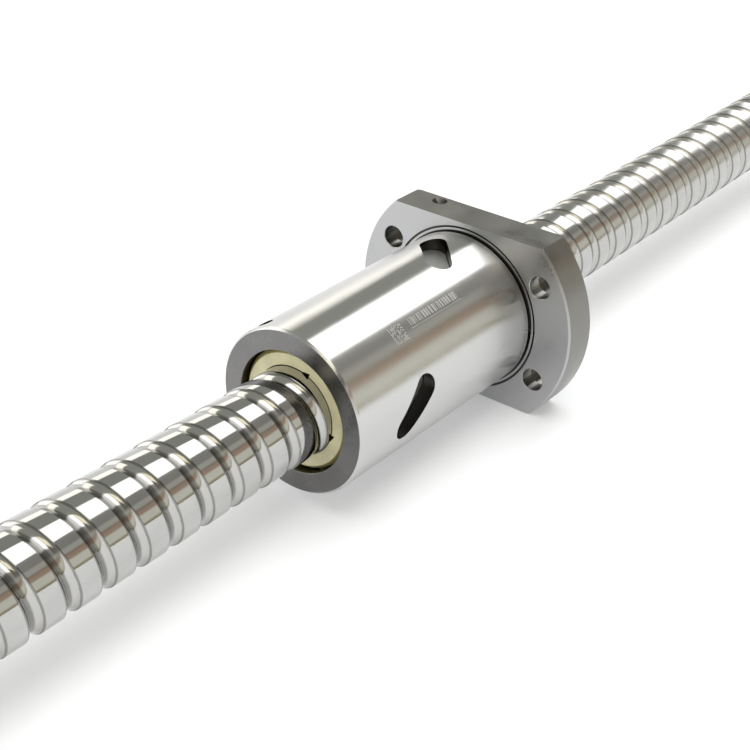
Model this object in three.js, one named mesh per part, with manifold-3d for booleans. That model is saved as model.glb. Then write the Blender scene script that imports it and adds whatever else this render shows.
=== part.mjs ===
// Ball screw, 25 mm by 10 mm lead, right hand, with a flanged single nut that has four internal
// deflector circuits. Millimetres. X runs along the screw from the supported end to the drive end,
// Z is normal to the flange flats, and the origin is on the axis at the screw's mid-length.
import * as THREE from "three";
import { mergeVertices } from "three/addons/utils/BufferGeometryUtils.js";
import Module from "manifold-3d";

// Screw
const LEAD = 10;
const GROOVE_X0 = 0.65; // groove centre at angle zero, which is the +Y direction
const SCREW_R = 12.25;
const THREAD_X = [-241, 180];
const SCREW_X = [-260, 260];
const SEAT_R = 10; // both bearing seats
const LOCK_THREAD_R = 9.75; // M20x1, drawn without its fine thread
const LOCK_THREAD_X = [217, 233];
const DRIVE_R = 7.5;
const CENTRE_HOLE_R = 2.5;
const CENTRE_HOLE_DEPTH = 5;
const RING_GROOVE_X = [-257.85, -256.5];
const RING_GROOVE_R = 9.5;
const SCREW_SEGMENTS = 16; // per turn

// Balls
const BALL_R = 2.3; // drawn 0.08 mm under the real 4.762 mm ball
const BALL_PATH_R = 13.2;
const BALLS_PER_CIRCUIT = 18;
const CROSSING_DEG = 29; // half the angle a ball takes to cross back over the land
const CROSSING_LIFT = 1.6;
const CHANNEL_R = 2.65;

// Nut
const NUT_X = -92; // front face
const NUT_LENGTH = 85;
const BODY_R = 23;
const FLANGE_R = 36;
const FLANGE_THICKNESS = 11;
const FLAT_Z = 26;
const NUT_LAND_R = 12.9;
const RECESS_R = 17;
const RECESS_DEPTH = 7.5;
const BOLT_CIRCLE_R = 29;
const BOLT_ANGLES = [30, 150, 210, 330];
const BOLT_HOLE_R = 3.3;
const COUNTERBORE_R = 5.5;
const COUNTERBORE_DEPTH = 6.5;
const OIL_PORT_X = 78.5;
const OIL_PORT_R = 2.5;
const OIL_WAY_X = 76;
const OIL_WAY_R = 1.2;

// Deflectors: distance from the nut's front face, and angle
const DEFLECTORS = [
  [22.65, 180],
  [35.15, 270],
  [47.65, 0],
  [60.15, 90],
];
const SLOT_SHIFT = -0.2; // the slots sit this far from the middle of the crossing
const SLOT_TILT_DEG = 46;
const SLOT_LENGTH = 18.5;
const SLOT_WIDTH = 7.5;
const DEFLECTOR_TOP_R = 19;

// Wipers and their set screws
const WIPER_R = 16.65;
const WIPER_SINK = 1.6; // from the nut's end face to the wiper's face
const WIPER_THICKNESS = 5.6;
const WIPER_BEVEL = 1;
// Each relief beside a wiping lip, from its thin end to the lip's square end, in degrees.
const RELIEFS = [[98.5, 112.5], [206, 192], [278.5, 292.5], [26, 12]];
const RELIEF_THIN_R = 12.6;
const RELIEF_DEEP_R = 13.7;
const RELIEF_DEPTH = 2.5;
const SET_SCREW_ANGLES = [60, 240];
const SET_SCREW_X = [4, 3]; // from the front face, and from the rear face
const SET_SCREW_R = 1.7;
const SET_SCREW_HOLE_R = 2;
const GAP = 0.3; // drawn between neighbours that touch or are pressed together

const wasm = await Module();
wasm.setup();
const rad = THREE.MathUtils.degToRad;

// A closed geometry as a solid.
function solid(geometry) {
  const plain = geometry.index ? geometry.toNonIndexed() : geometry.clone();
  plain.deleteAttribute("normal");
  plain.deleteAttribute("uv");
  const merged = mergeVertices(plain, 1e-4);
  return new wasm.Manifold(
    new wasm.Mesh({
      numProp: 3,
      vertProperties: new Float32Array(merged.attributes.position.array),
      triVerts: new Uint32Array(merged.index.array),
    }),
  );
}

// The solid without the loose slivers that remain where two cuts nearly meet.
function largest(made) {
  return made.decompose().reduce((a, b) => (a.volume() > b.volume() ? a : b));
}

function meshOf(name, made, colour, metalness, roughness) {
  const { vertProperties, triVerts } = made.getMesh();
  const geometry = new THREE.BufferGeometry();
  geometry.setAttribute("position", new THREE.BufferAttribute(vertProperties, 3));
  geometry.setIndex(new THREE.BufferAttribute(triVerts, 1));
  geometry.computeVertexNormals();
  const material = new THREE.MeshStandardMaterial({ color: colour, metalness, roughness });
  const mesh = new THREE.Mesh(geometry, material);
  mesh.name = name;
  return mesh;
}

// A solid of revolution about X from [x, radius] points that start and end on the axis.
function turned(points, segments) {
  const profile = points.map(([x, r]) => new THREE.Vector2(r, x));
  return solid(new THREE.LatheGeometry(profile, segments).rotateZ(-Math.PI / 2));
}

// A cylinder whose axis leaves the screw's axis at an angle, between two radii.
function radialCylinder(x, degrees, r, from, to, segments = 16) {
  const pin = new THREE.CylinderGeometry(r, r, to - from, segments);
  pin.translate(0, (from + to) / 2, 0).rotateX(rad(degrees)).translate(x, 0, 0);
  return solid(pin);
}

function axialCylinder(x0, x1, r, y = 0, z = 0, segments = 16) {
  const pin = new THREE.CylinderGeometry(r, r, x1 - x0, segments);
  pin.rotateZ(-Math.PI / 2).translate((x0 + x1) / 2, y, z);
  return solid(pin);
}

function box(x0, x1, y0, y1, z0, z1) {
  const block = new THREE.BoxGeometry(x1 - x0, y1 - y0, z1 - z0);
  return solid(block.translate((x0 + x1) / 2, (y0 + y1) / 2, (z0 + z1) / 2));
}

// A threaded core from about x0 to x1. Each profile point is [offset from the groove centre,
// radius], and together they span one lead; both ends are capped to the axis.
function helixCore(profile, segments, x0, x1, outside) {
  const grow = outside ? 1 : 1 / Math.cos(Math.PI / segments);
  const firstTurn = Math.floor((x0 - GROOVE_X0) / LEAD) - 1;
  const steps = Math.ceil((x1 - x0) / LEAD + 3) * segments;
  const count = profile.length;
  const positions = [];
  for (let i = 0; i <= steps; i++) {
    const angle = (2 * Math.PI * i) / segments;
    const along = GROOVE_X0 + LEAD * (firstTurn + i / segments);
    for (const [offset, r] of profile)
      positions.push(along + offset, r * grow * Math.cos(angle), r * grow * Math.sin(angle));
  }
  const at = (i, j) => (j < count ? i * count + j : (i + segments) * count);
  const index = [];
  for (let i = 0; i < steps; i++)
    for (let j = 0; j < count; j++) {
      if (j === count - 1 && i + 1 + segments > steps) continue;
      const [a, b, c, d] = [at(i, j), at(i, j + 1), at(i + 1, j + 1), at(i + 1, j)];
      index.push(a, c, b, a, d, c);
    }
  const start = [];
  for (let i = 0; i < segments; i++) start.push(at(i, 0));
  for (let j = count; j > 0; j--) start.push(at(0, j));
  const end = [];
  for (let j = 0; j < count; j++) end.push(at(steps, j));
  for (let i = 1; i <= segments; i++) end.push(at(steps - i, count - 1));
  for (const [loop, x] of [
    [start, GROOVE_X0 + LEAD * firstTurn],
    [end, GROOVE_X0 + LEAD * (firstTurn + steps / segments)],
  ]) {
    const axis = positions.length / 3;
    positions.push(x, 0, 0);
    loop.forEach((v, k) => index.push(axis, loop[(k + 1) % loop.length], v));
  }
  const made = new wasm.Manifold(
    new wasm.Mesh({
      numProp: 3,
      vertProperties: new Float32Array(positions),
      triVerts: new Uint32Array(index),
    }),
  );
  const trim = axialCylinder(x0, x1, 30);
  return made.intersect(trim);
}

function screwShaft() {
  const profile = [
    [-2.3, SCREW_R],
    [-1.3, 10.75],
    [1.3, 10.75],
    [2.3, SCREW_R],
  ];
  const [x0, x1] = THREAD_X;
  const ends = turned(
    [[x0, 0], [x0, SCREW_R - 0.8], [x0 + 1.2, 12.7], [x1 - 1.2, 12.7], [x1, SCREW_R - 0.8], [x1, 0]],
    SCREW_SEGMENTS,
  );
  const core = 9.9;
  const journals = turned(
    [
      [SCREW_X[0], 0],
      [SCREW_X[0], SEAT_R - 0.8],
      [SCREW_X[0] + 0.8, SEAT_R],
      [RING_GROOVE_X[0], SEAT_R],
      [RING_GROOVE_X[0], RING_GROOVE_R],
      [RING_GROOVE_X[1], RING_GROOVE_R],
      [RING_GROOVE_X[1], SEAT_R],
      [x0 + 2, SEAT_R],
      [x0 + 3, core],
      [x1 - 3, core],
      [x1 - 2, SEAT_R],
      [LOCK_THREAD_X[0], SEAT_R],
      [LOCK_THREAD_X[0], LOCK_THREAD_R],
      [LOCK_THREAD_X[1] - 1, LOCK_THREAD_R],
      [LOCK_THREAD_X[1], LOCK_THREAD_R - 1],
      [LOCK_THREAD_X[1], DRIVE_R],
      [SCREW_X[1] - 0.8, DRIVE_R],
      [SCREW_X[1], DRIVE_R - 0.8],
      [SCREW_X[1], 0],
    ],
    24,
  );
  const centres = [
    turned([[SCREW_X[0] - 1, 0], [SCREW_X[0] - 1, CENTRE_HOLE_R + 1],
      [SCREW_X[0] + CENTRE_HOLE_DEPTH, 0]], 12),
    turned([[SCREW_X[1] - CENTRE_HOLE_DEPTH, 0], [SCREW_X[1] + 1, CENTRE_HOLE_R + 1],
      [SCREW_X[1] + 1, 0]], 12),
  ];
  let shaft = helixCore(profile, SCREW_SEGMENTS, x0 - 1, x1 + 1, true).intersect(ends);
  shaft = shaft.add(journals);
  for (const centre of centres) shaft = shaft.subtract(centre);
  return shaft;
}

// An open spring ring in the supported end's groove, with two eyes at its gap.
function retainingRing() {
  const shape = new THREE.Shape();
  const inner = 9.7, outer = 12.2, gap = rad(14);
  shape.absarc(0, 0, outer, -Math.PI / 2 + gap, 1.5 * Math.PI - gap, false);
  shape.absarc(0, 0, inner, 1.5 * Math.PI - gap, -Math.PI / 2 + gap, true);
  const [x0, x1] = RING_GROOVE_X;
  const thickness = 1.2;
  const ring = new THREE.ExtrudeGeometry(shape, {
    depth: thickness, bevelEnabled: false, curveSegments: 24,
  });
  // The shape's x and y become Y and Z, and its depth runs along X.
  const turn = new THREE.Matrix4().makeBasis(
    new THREE.Vector3(0, 1, 0), new THREE.Vector3(0, 0, 1), new THREE.Vector3(1, 0, 0));
  const start = (x0 + x1 - thickness) / 2;
  let made = solid(ring.applyMatrix4(turn).translate(start, 0, 0));
  for (const side of [-1, 1]) {
    const angle = -Math.PI / 2 + side * rad(20);
    const [y, z] = [12.2 * Math.cos(angle), 12.2 * Math.sin(angle)];
    made = made.add(axialCylinder(start, start + thickness, 2, y, z, 12));
    made = made.subtract(axialCylinder(start - 1, start + thickness + 1, 1, y, z, 8));
  }
  return made;
}

// The middle of a ball of circuit k, at an angle from its deflector.
function ballCentre([x, angle], phi) {
  const turn = ((phi + 180) % 360 + 360) % 360 - 180;
  const crossing = Math.abs(turn) < CROSSING_DEG;
  let along = (LEAD * turn) / 360 + (turn > 0 ? -LEAD / 2 : LEAD / 2);
  let r = BALL_PATH_R;
  if (crossing) {
    const t = (turn + CROSSING_DEG) / (2 * CROSSING_DEG);
    const eased = t * t * (3 - 2 * t);
    along = (LEAD * turn) / 360 + (LEAD / 2) * (1 - 2 * eased);
    r += CROSSING_LIFT * (1 - (turn / CROSSING_DEG) ** 4);
  }
  const a = rad(angle + turn);
  return new THREE.Vector3(NUT_X + x + along, r * Math.cos(a), r * Math.sin(a));
}

// A string of rings, each [centre, direction, radius], closed at both ends by a point.
function stringOf(rings, sides) {
  const positions = [], index = [];
  rings.forEach(([centre, direction, r]) => {
    const out = new THREE.Vector3(0, centre.y, centre.z).normalize();
    const side = new THREE.Vector3().crossVectors(direction, out).normalize();
    const up = new THREE.Vector3().crossVectors(side, direction).normalize();
    const points = r > 0 ? sides : 1;
    for (let k = 0; k < points; k++) {
      const a = (2 * Math.PI * k) / sides;
      const p = centre.clone().addScaledVector(up, r * Math.cos(a))
        .addScaledVector(side, r * Math.sin(a));
      positions.push(p.x, p.y, p.z);
    }
  });
  const last = positions.length / 3 - 1;
  const ring = (n, k) => 1 + (n - 1) * sides + (k % sides);
  const inner = rings.length - 2;
  for (let k = 0; k < sides; k++) {
    index.push(0, ring(1, k + 1), ring(1, k));
    index.push(last, ring(inner, k), ring(inner, k + 1));
    for (let n = 1; n < inner; n++) {
      const [a, b, c, d] = [ring(n, k), ring(n, k + 1), ring(n + 1, k + 1), ring(n + 1, k)];
      index.push(a, b, c, a, c, d);
    }
  }
  const made = new THREE.BufferGeometry();
  made.setAttribute("position", new THREE.Float32BufferAttribute(positions, 3));
  made.setIndex(index);
  return solid(made);
}

// Points every few hundredths of a millimetre round a circuit, with the distance run to each.
function circuitPath(place) {
  const points = [], lengths = [0];
  const count = 1440;
  for (let i = 0; i <= count; i++) points.push(ballCentre(place, -180 + (360 * i) / count));
  for (let i = 1; i <= count; i++)
    lengths.push(lengths[i - 1] + points[i].distanceTo(points[i - 1]));
  const at = (s) => {
    let i = lengths.findIndex((l) => l >= s);
    if (i < 1) i = i === 0 ? 1 : count;
    const t = (s - lengths[i - 1]) / (lengths[i] - lengths[i - 1]);
    return points[i - 1].clone().lerp(points[i], t);
  };
  return { total: lengths[count], at };
}

// The balls of one circuit, in touch: those under load, or those crossing in the deflector.
function ballRow(place, crossing) {
  const { total, at } = circuitPath(place);
  const pitch = total / BALLS_PER_CIRCUIT;
  const wrap = (s) => ((s % total) + total) % total;
  const returning = 4;
  // The crossing is centred on half the length, because the path starts opposite its deflector.
  const count = crossing ? returning : BALLS_PER_CIRCUIT - returning;
  const middle = crossing ? total / 2 : total;
  const first = middle - ((count - 1) / 2) * pitch;
  const rings = [];
  const add = (s, r) => {
    const along = at(wrap(s + 0.05)).sub(at(wrap(s - 0.05))).normalize();
    rings.push([at(wrap(s)), along, r]);
  };
  for (let n = 0; n < count; n++) {
    const s = first + n * pitch;
    if (n === 0) add(s - BALL_R, 0);
    add(s - 1.6, Math.sqrt(BALL_R ** 2 - 1.6 ** 2));
    add(s, BALL_R);
    add(s + 1.6, Math.sqrt(BALL_R ** 2 - 1.6 ** 2));
    if (n < count - 1) add(s + pitch / 2, 0.5);
    else add(s + BALL_R, 0);
  }
  return stringOf(rings, 6);
}

// The S-shaped way a ball takes across the land, a little wider than a ball.
function channel(place) {
  const reach = CROSSING_DEG + 5, steps = 12;
  const rings = [];
  for (let n = 0; n <= steps; n++) {
    const phi = -reach + (2 * reach * n) / steps;
    const along = ballCentre(place, phi + 0.5).sub(ballCentre(place, phi - 0.5)).normalize();
    const centre = ballCentre(place, phi);
    if (n === 0) rings.push([centre.clone().addScaledVector(along, -0.5), along, 0]);
    rings.push([centre, along, CHANNEL_R]);
    if (n === steps) rings.push([centre.clone().addScaledVector(along, 0.5), along, 0]);
  }
  return stringOf(rings, 10);
}

// A round-ended prism standing on the axis at a deflector's place, between two radii.
function obround([x, angle], length, width, from, to) {
  const r = width / 2, half = length / 2 - r;
  const shape = new THREE.Shape();
  shape.absarc(half, 0, r, -Math.PI / 2, Math.PI / 2, false);
  shape.absarc(-half, 0, r, Math.PI / 2, 1.5 * Math.PI, false);
  const prism = new THREE.ExtrudeGeometry(shape, {
    depth: to - from, bevelEnabled: false, curveSegments: 8,
  });
  const a = rad(angle), tilt = rad(SLOT_TILT_DEG);
  const out = new THREE.Vector3(0, Math.cos(a), Math.sin(a));
  const round = new THREE.Vector3(0, -Math.sin(a), Math.cos(a));
  const axial = new THREE.Vector3(1, 0, 0);
  const long = round.clone().multiplyScalar(Math.cos(tilt)).addScaledVector(axial, -Math.sin(tilt));
  const wide = round.clone().multiplyScalar(Math.sin(tilt)).addScaledVector(axial, Math.cos(tilt));
  const place = new THREE.Matrix4().makeBasis(long, wide, out);
  place.setPosition(out.clone().multiplyScalar(from).add(
    new THREE.Vector3(NUT_X + x + SLOT_SHIFT, 0, 0)));
  return solid(prism.applyMatrix4(place));
}

function deflector(place) {
  return obround(place, SLOT_LENGTH - 2 * GAP, SLOT_WIDTH - 2 * GAP, 11, DEFLECTOR_TOP_R)
    .subtract(axialCylinder(NUT_X, NUT_X + NUT_LENGTH, NUT_LAND_R + 0.1, 0, 0, 48))
    .subtract(channel(place));
}

function nutBody() {
  const face = NUT_LENGTH - FLANGE_THICKNESS;
  const outline = [
    [0, 0], [0, BODY_R - 1], [1, BODY_R],
    [face - 1.8, BODY_R], [face - 1.5, BODY_R - 0.6], [face + 0.4, BODY_R - 0.6],
    [face + 0.4, BODY_R + 1.1], [face, BODY_R + 1.6],
    [face, FLANGE_R - 0.6], [face + 0.6, FLANGE_R],
    [NUT_LENGTH - 0.6, FLANGE_R], [NUT_LENGTH, FLANGE_R - 0.6], [NUT_LENGTH, 0],
  ];
  let nut = turned(outline.map(([x, r]) => [NUT_X + x, r]), 48);
  const [near, far] = [NUT_X, NUT_X + NUT_LENGTH];
  for (const side of [-1, 1]) {
    const [low, high] = [FLAT_Z * side, 40 * side].sort((a, b) => a - b);
    nut = nut.subtract(box(NUT_X + face - 1, far + 1, -40, 40, low, high));
  }
  const raceway = [[-2.7, NUT_LAND_R], [-1.5, 15.75], [1.5, 15.75], [2.7, NUT_LAND_R]];
  nut = nut.subtract(helixCore(raceway, 16, near - 1, far + 1, false));
  nut = nut.subtract(axialCylinder(near - 1, near + RECESS_DEPTH, RECESS_R, 0, 0, 48));
  nut = nut.subtract(axialCylinder(far - RECESS_DEPTH, far + 1, RECESS_R, 0, 0, 48));
  for (const place of DEFLECTORS) {
    nut = nut.subtract(obround(place, SLOT_LENGTH, SLOT_WIDTH, 10, BODY_R + 2));
    nut = nut.subtract(channel(place));
  }
  for (const degrees of BOLT_ANGLES) {
    const [y, z] = [BOLT_CIRCLE_R * Math.cos(rad(degrees)), BOLT_CIRCLE_R * Math.sin(rad(degrees))];
    nut = nut.subtract(axialCylinder(NUT_X + face - 1, far + 1, BOLT_HOLE_R, y, z, 20));
    nut = nut.subtract(axialCylinder(far - COUNTERBORE_DEPTH, far + 1, COUNTERBORE_R, y, z, 20));
  }
  for (const degrees of SET_SCREW_ANGLES) {
    nut = nut.subtract(radialCylinder(near + SET_SCREW_X[0], degrees, SET_SCREW_HOLE_R, 15, 25, 12));
    nut = nut.subtract(radialCylinder(far - SET_SCREW_X[1], degrees, SET_SCREW_HOLE_R, 15, 33, 12));
  }
  nut = nut.subtract(radialCylinder(NUT_X + OIL_PORT_X, 270, OIL_PORT_R, 18.5, 28, 16));
  nut = nut.subtract(radialCylinder(NUT_X + OIL_WAY_X, 270, OIL_WAY_R, 12, 19, 8));
  return largest(nut);
}

// The wedge that relieves a wiper's bore beside one end of a lip, in its outer face.
function relief([thin, deep], faceX) {
  const at = (degrees, r) => [r * Math.cos(rad(degrees)), r * Math.sin(rad(degrees))];
  const corners = [at(thin, 10), at(thin, RELIEF_THIN_R), at(deep, RELIEF_DEEP_R), at(deep, 10)];
  const outline = new THREE.Shape(corners.map(([y, z]) => new THREE.Vector2(y, z)));
  const cut = new THREE.ExtrudeGeometry(outline, { depth: 2 * RELIEF_DEPTH, bevelEnabled: false });
  const axes = [new THREE.Vector3(0, 1, 0), new THREE.Vector3(0, 0, 1), new THREE.Vector3(1, 0, 0)];
  cut.applyMatrix4(new THREE.Matrix4().makeBasis(...axes));
  return solid(cut.translate(faceX - RELIEF_DEPTH, 0, 0));
}

// A wiper ring, with a helical lip that follows the screw's groove and four reliefs in its face.
function wiper(atFront) {
  const direction = atFront ? 1 : -1;
  const faceX = atFront ? NUT_X + WIPER_SINK : NUT_X + NUT_LENGTH - WIPER_SINK;
  const backX = faceX + direction * WIPER_THICKNESS;
  const outline = [
    [faceX, 0],
    [faceX, WIPER_R - WIPER_BEVEL],
    [faceX + direction * WIPER_BEVEL, WIPER_R],
    [backX, WIPER_R],
    [backX, 0],
  ];
  if (!atFront) outline.reverse();
  const lip = [[-1.95, 12.7], [-1, 11.2], [1, 11.2], [1.95, 12.7]];
  const [low, high] = [Math.min(faceX, backX), Math.max(faceX, backX)];
  let ring = turned(outline, 48).subtract(helixCore(lip, 24, low - 1, high + 1, false));
  for (const ends of RELIEFS) ring = ring.subtract(relief(ends, faceX));
  return ring;
}

// A hexagon-socket set screw standing on the axis, its socket outwards.
function setScrew(x, degrees, r, from, to, acrossFlats) {
  const socket = acrossFlats / Math.sqrt(3);
  const body = radialCylinder(x, degrees, r, from, to, 12);
  return body.subtract(radialCylinder(x, degrees, socket, to - r, to + 1, 6));
}

const STEEL = [0xb4b3b0, 0.95, 0.2];
const part = new THREE.Group();
part.name = "ball_screw";
const add = (name, made, look) => part.add(meshOf(name, made, ...look));

add("screw_shaft", screwShaft(), STEEL);
add("retaining_ring", retainingRing(), [0x3c3a38, 0.8, 0.45]);
add("nut_body", nutBody(), [0xa3a2a0, 0.95, 0.32]);
DEFLECTORS.forEach((place, k) => {
  add(`deflector_${k + 1}`, deflector(place), [0xb9b8b4, 0.9, 0.35]);
  add(`balls_loaded_${k + 1}`, ballRow(place, false), [0xd0d0d0, 1, 0.1]);
  add(`balls_returning_${k + 1}`, ballRow(place, true), [0xd0d0d0, 1, 0.1]);
});
add("wiper_front", wiper(true), [0xc9c39a, 0, 0.5]);
add("wiper_rear", wiper(false), [0xc9c39a, 0, 0.5]);
SET_SCREW_ANGLES.forEach((degrees, k) => {
  const black = [0x2b2a2a, 0.8, 0.45];
  const nutEnd = NUT_X + NUT_LENGTH;
  const side = k === 0 ? "top" : "bottom";
  const [bottomR, frontTop, rearTop] = [WIPER_R + GAP, 22.3, 24.8];
  add(`set_screw_front_${side}`,
    setScrew(NUT_X + SET_SCREW_X[0], degrees, SET_SCREW_R, bottomR, frontTop, 2), black);
  add(`set_screw_rear_${side}`,
    setScrew(nutEnd - SET_SCREW_X[1], degrees, SET_SCREW_R, bottomR, rearTop, 2), black);
});
add("oil_port_plug", setScrew(NUT_X + OIL_PORT_X, 270, OIL_PORT_R - 0.3, 19, 25, 3),
  [0x2b2a2a, 0.8, 0.45]);

export default part;
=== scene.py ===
"""Ball screw with a flanged nut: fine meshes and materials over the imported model, for Blender 4.5.

Lengths in the shape functions are millimetres, as in the part's source; make_piece turns them
into metres. X runs along the screw, and an angle is measured about X from the +Y direction.
"""

import math

import bmesh
import bpy
import numpy as np
from mathutils import Euler, Matrix, Vector


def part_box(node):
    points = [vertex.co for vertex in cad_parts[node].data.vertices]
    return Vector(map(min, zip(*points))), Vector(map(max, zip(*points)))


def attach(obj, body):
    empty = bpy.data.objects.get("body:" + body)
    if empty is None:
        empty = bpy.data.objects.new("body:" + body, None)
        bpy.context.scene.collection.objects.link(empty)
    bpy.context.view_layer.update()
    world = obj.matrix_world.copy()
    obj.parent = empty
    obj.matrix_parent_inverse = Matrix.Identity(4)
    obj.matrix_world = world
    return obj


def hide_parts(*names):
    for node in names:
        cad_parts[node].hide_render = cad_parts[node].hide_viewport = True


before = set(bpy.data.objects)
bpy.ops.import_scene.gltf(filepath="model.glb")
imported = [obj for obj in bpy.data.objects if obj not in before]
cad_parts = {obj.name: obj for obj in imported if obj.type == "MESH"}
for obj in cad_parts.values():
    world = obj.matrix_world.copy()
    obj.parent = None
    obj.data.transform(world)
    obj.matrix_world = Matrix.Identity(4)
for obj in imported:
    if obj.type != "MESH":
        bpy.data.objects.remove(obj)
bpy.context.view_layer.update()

MM = 0.001

# ---- driving dimensions, in millimetres -------------------------------------------------------
LEAD = 10.0
GROOVE_X0 = 0.65  # groove centre at angle zero
SCREW_R = 12.25
BALL_R = 2.381
BALL_PATH_R = 13.2
GROOVE_ARC_R = 2.52  # each side of the gothic arch
CREST_R = 0.4  # rounding where the groove meets the land
NEAR_CREST_R = 1.0  # the same on the side toward the supported end
NEAR_EDGE = 2.32  # from the groove's centre to the land on that side
SEAT_R = 10.0
DRIVE_R = 7.5
THREAD_CHAMFER = 0.9
SUPPORTED_END = 19.0  # length of the turned end nearest the camera
RING_GROOVE_OFFSET = 15.5  # from the thread to the retaining ring's groove
RING_GROOVE_WIDTH = 1.35
DRIVE_END = 80.0  # length of the other one: its seat, lock nut thread and journal
DRIVE_SEAT_LENGTH = 37.0
LOCK_THREAD_LENGTH = 16.0

BODY_R = 23.0
FLANGE_R = 36.0
FLANGE_THICKNESS = 11.0
FLAT_Z = 26.0
BORE_R = 12.75
RECESS_R = 17.0
RECESS_DEPTH = 7.5
BOLT_CIRCLE_R = 29.0
BOLT_ANGLES = (30, 150, 210, 330)
BOLT_HOLE_R = 3.3
COUNTERBORE_R = 5.5
COUNTERBORE_DEPTH = 6.5
OIL_PORT_R = 3.0
SET_SCREW_R = 2.0

SLOT_SHIFT = -0.2
SLOT_TILT = math.radians(46)
SLOT_LENGTH = 18.5
SLOT_WIDTH = 7.5
SLOT_FIT = 0.06  # the deflector is this much smaller than its slot
DEFLECTOR_TOP_R = 19.0
CROSSING = 29.0  # degrees either side of a deflector over which its balls cross the land
CROSSING_LIFT = 1.6
BALLS_PER_CIRCUIT = 18
RETURNING_BALLS = 4

WIPER_R = 16.65
WIPER_BEVEL = 1.0
# Each relief beside a wiping lip, from its thin end to the lip's square end, in degrees.
RELIEFS = ((98.5, 112.5), (206, 192), (278.5, 292.5), (26, 12))
RELIEF_THIN_R = 12.2
RELIEF_DEEP_R = 13.3
RELIEF_DEPTH = 4.0
WIPER_BORE_R = 12.38
WIPER_ENTRY_DEPTH = 1.6
WIPER_LIP_R = 11.12  # the lip's crest, down in the screw's groove

CHANNEL_R = BALL_R + 0.12  # a ball's way through a deflector and the nut beside it
RACEWAY_HALF_WIDTH = 2.33
RACEWAY_FLARE = 2.6  # half width of the raceway's cutter where it stands inside the bore

MARK_X = 22.0  # from the nut's front face
MARK_ANGLE = 124.0

# Each set screw or plug: its node, angle, thread radius and pitch, the distances of its inner end
# and its top from the nut's axis, and its socket's width across flats.
SET_SCREWS = (
    ("set_screw_front_top", 60, 1.98, 0.7, 16.6, 22.4, 2.0),
    ("set_screw_front_bottom", 240, 1.98, 0.7, 16.6, 22.4, 2.0),
    ("set_screw_rear_top", 60, 1.98, 0.7, 16.6, 25.0, 2.0),
    ("set_screw_rear_bottom", 240, 1.98, 0.7, 16.6, 25.0, 2.0),
    ("oil_port_plug", 270, 2.95, 1.0, 19.0, 25.4, 3.0),
)


def box_mm(node):
    low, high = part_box(node)
    return Vector(low) / MM, Vector(high) / MM


def middle_x(node):
    low, high = box_mm(node)
    return (low.x + high.x) / 2


NUT_X0, NUT_X1 = (corner.x for corner in box_mm("nut_body"))
SCREW_X0, SCREW_X1 = (corner.x for corner in box_mm("screw_shaft"))
THREAD_X0, THREAD_X1 = SCREW_X0 + SUPPORTED_END, SCREW_X1 - DRIVE_END
FLANGE_X = NUT_X1 - FLANGE_THICKNESS


# ---- shapes -----------------------------------------------------------------------------------
def at_angle(degrees, r, x=0.0):
    a = math.radians(degrees)
    return Vector((x, r * math.cos(a), r * math.sin(a)))


def polar_frame(degrees, x=0.0):
    """A matrix whose local X, Y, Z are the screw's X, the way round, and outwards, at an angle."""
    out = at_angle(degrees, 1)
    axial = Vector((1, 0, 0))
    around = out.cross(axial)
    m = Matrix((axial, around, out)).transposed().to_4x4()
    m.translation = Vector((x, 0, 0))
    return m


def filleted(points, radii, steps):
    """A closed 2-D outline with its corners rounded; a radius of 0 keeps a corner sharp."""
    made, n = [], len(points)
    for i, p in enumerate(points):
        r = radii[i]
        if r <= 0:
            made.append(tuple(p))
            continue
        here = Vector(p)
        before = (Vector(points[i - 1]) - here).normalized()
        after = (Vector(points[(i + 1) % n]) - here).normalized()
        half = before.angle(after) / 2
        if half > math.radians(88):
            made.append(tuple(p))
            continue
        reach = r / math.tan(half)
        centre = here + (before + after).normalized() * (r / math.sin(half))
        start, end = here + before * reach - centre, here + after * reach - centre
        turn = start.angle_signed(end)
        for k in range(steps + 1):
            a = -turn * k / steps
            c, s = math.cos(a), math.sin(a)
            x, y = start.x * c - start.y * s, start.x * s + start.y * c
            made.append((centre.x + x, centre.y + y))
    return made


def revolved(profile, segments):
    """A ring solid from a closed outline of (x, radius) points that stays off the axis."""
    n = len(profile)
    a = np.linspace(0, 2 * math.pi, segments, endpoint=False)
    x = np.array([p[0] for p in profile])
    r = np.array([p[1] for p in profile])
    verts = np.stack(
        [
            np.tile(x, segments),
            np.outer(np.cos(a), r).ravel(),
            np.outer(np.sin(a), r).ravel(),
        ],
        1,
    )
    faces = []
    for k in range(segments):
        k1 = (k + 1) % segments
        for i in range(n):
            i1 = (i + 1) % n
            faces.append((k * n + i, k * n + i1, k1 * n + i1, k1 * n + i))
    return verts, faces


def solid_of_revolution(profile, segments=96):
    """A solid from (x, radius) points, with flat discs closing both ends."""
    n = len(profile)
    verts, faces = revolved(profile, segments)
    faces = [f for j, f in enumerate(faces) if j % n != n - 1]
    faces.append(tuple(k * n for k in range(segments)))
    faces.append(tuple(k * n + n - 1 for k in reversed(range(segments))))
    return verts, faces


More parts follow.
